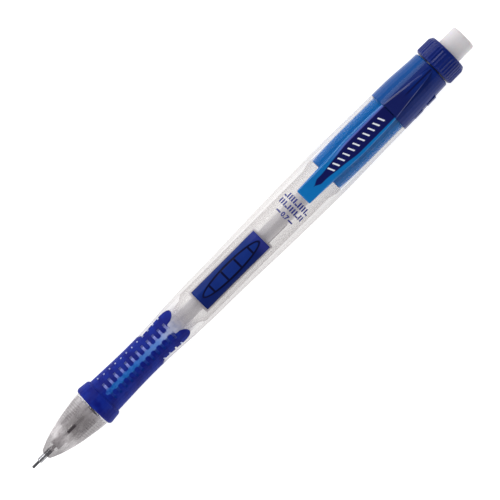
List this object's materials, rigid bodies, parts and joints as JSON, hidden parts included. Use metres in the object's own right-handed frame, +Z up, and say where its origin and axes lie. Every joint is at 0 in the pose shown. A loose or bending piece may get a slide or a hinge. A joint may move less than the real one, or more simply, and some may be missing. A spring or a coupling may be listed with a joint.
{
  "type": "mechanical pencil",
  "caption": "Side-click mechanical pencil: clear barrel, blue finger grip, side push button, pocket clip, and an eraser that winds out when the ribbed collar is turned.",
  "frame": {"origin": "on the floor under the middle of the pencil's length, as it lies on its back", "axes": "+X along the pencil from the lead's point to the eraser, +Z up through the side button and the clip, +Y to the left of the button when the eraser points away"},
  "size_m": [0.148, 0.0126, 0.0148],
  "materials": {
    "clear_plastic": "polished clear moulding",
    "smoked_clear_plastic": "slightly smoked clear moulding",
    "blue_rubber": "soft matte rubber",
    "navy_plastic": "smooth moulding",
    "royal_blue_plastic": "smooth moulding",
    "clip_blue_plastic": "smooth moulding",
    "mid_blue_plastic": "see-through blue moulding",
    "bright_steel": "drawn tube",
    "spring_steel": "drawn wire",
    "plated_brass": "nickel-plated turned brass",
    "graphite": "polymer-bound graphite",
    "pale_plastic": "natural moulding",
    "soft_grey_rubber": "soft ring",
    "white_eraser": "matte vinyl"
  },
  "bodies": {
    "body": {"barrel": "clear_plastic", "grip": "blue_rubber", "hood": "royal_blue_plastic", "spiral_sleeve": "mid_blue_plastic", "chuck_spring": "spring_steel"},
    "nose_travel": {"lead_sleeve": "bright_steel", "lead_retainer": "soft_grey_rubber"},
    "nose_shell": {"nose_cone": "smoked_clear_plastic"},
    "button": {"side_button": "navy_plastic"},
    "feed": {"lead_tube": "pale_plastic", "cam_slider": "pale_plastic", "chuck_coupler": "pale_plastic", "chuck": "plated_brass", "spare_lead_1": "graphite", "spare_lead_2": "graphite"},
    "clutch_ring": {"chuck_ring": "plated_brass"},
    "writing_lead": {"lead": "graphite"},
    "twist": {"twist_collar": "navy_plastic", "twist_tube": "pale_plastic", "stop_ring": "pale_plastic"},
    "carrier": {"eraser_carrier": "pale_plastic"},
    "rubber": {"eraser": "white_eraser"},
    "clip": {"clip_arm": "clip_blue_plastic"}
  },
  "joints": [
    {"name": "button_press", "type": "slide", "parent": "body", "child": "button", "axis": [0, 0, -1], "range_m": [0, 0.0014], "stiffness_N_per_m": 700, "springref_m": -0.003},
    {"name": "tube_feed", "type": "slide", "parent": "body", "child": "feed", "axis": [-1, 0, 0], "range_m": [0, 0.0014], "deforming": ["chuck_spring"]},
    {"name": "ring_follow", "type": "slide", "parent": "body", "child": "clutch_ring", "axis": [-1, 0, 0], "range_m": [0, 0.0007]},
    {"name": "lead_feed", "type": "slide", "parent": "feed", "child": "writing_lead", "axis": [-1, 0, 0], "range_m": [-0.0022, 0.02]},
    {"name": "collar_twist", "type": "hinge", "parent": "body", "child": "twist", "pos_m": [0.0659, 0, 0.00625], "axis": [1, 0, 0], "range_deg": [-226, 577]},
    {"name": "eraser_travel", "type": "slide", "parent": "twist", "child": "carrier", "axis": [1, 0, 0], "range_m": [-0.005, 0.0128]},
    {"name": "eraser_pull", "type": "slide", "parent": "carrier", "child": "rubber", "axis": [1, 0, 0], "range_m": [0, 0.034]},
    {"name": "nose_unscrew", "type": "hinge", "parent": "nose_travel", "child": "nose_shell", "pos_m": [-0.062, 0, 0.00625], "axis": [-1, 0, 0], "range_deg": [0, 1801]},
    {"name": "nose_advance", "type": "slide", "parent": "body", "child": "nose_travel", "axis": [-1, 0, 0], "range_m": [0, 0.0075]},
    {"name": "clip_flex", "type": "hinge", "parent": "body", "child": "clip", "pos_m": [0.04765, 0, 0.014], "axis": [0, 1, 0], "range_deg": [0, 4], "stiffness_Nm_per_rad": 2, "springref_deg": -1.72}
  ],
  "couplings": [
    {"joint": "tube_feed", "follows": "button_press", "ratio": 1},
    {"joint": "ring_follow", "follows": "button_press", "ratio": 0.5},
    {"joint": "collar_twist", "follows": "eraser_travel", "rad_per_m": 785.4},
    {"joint": "nose_unscrew", "follows": "nose_advance", "rad_per_m": 4188.8}
  ]
}
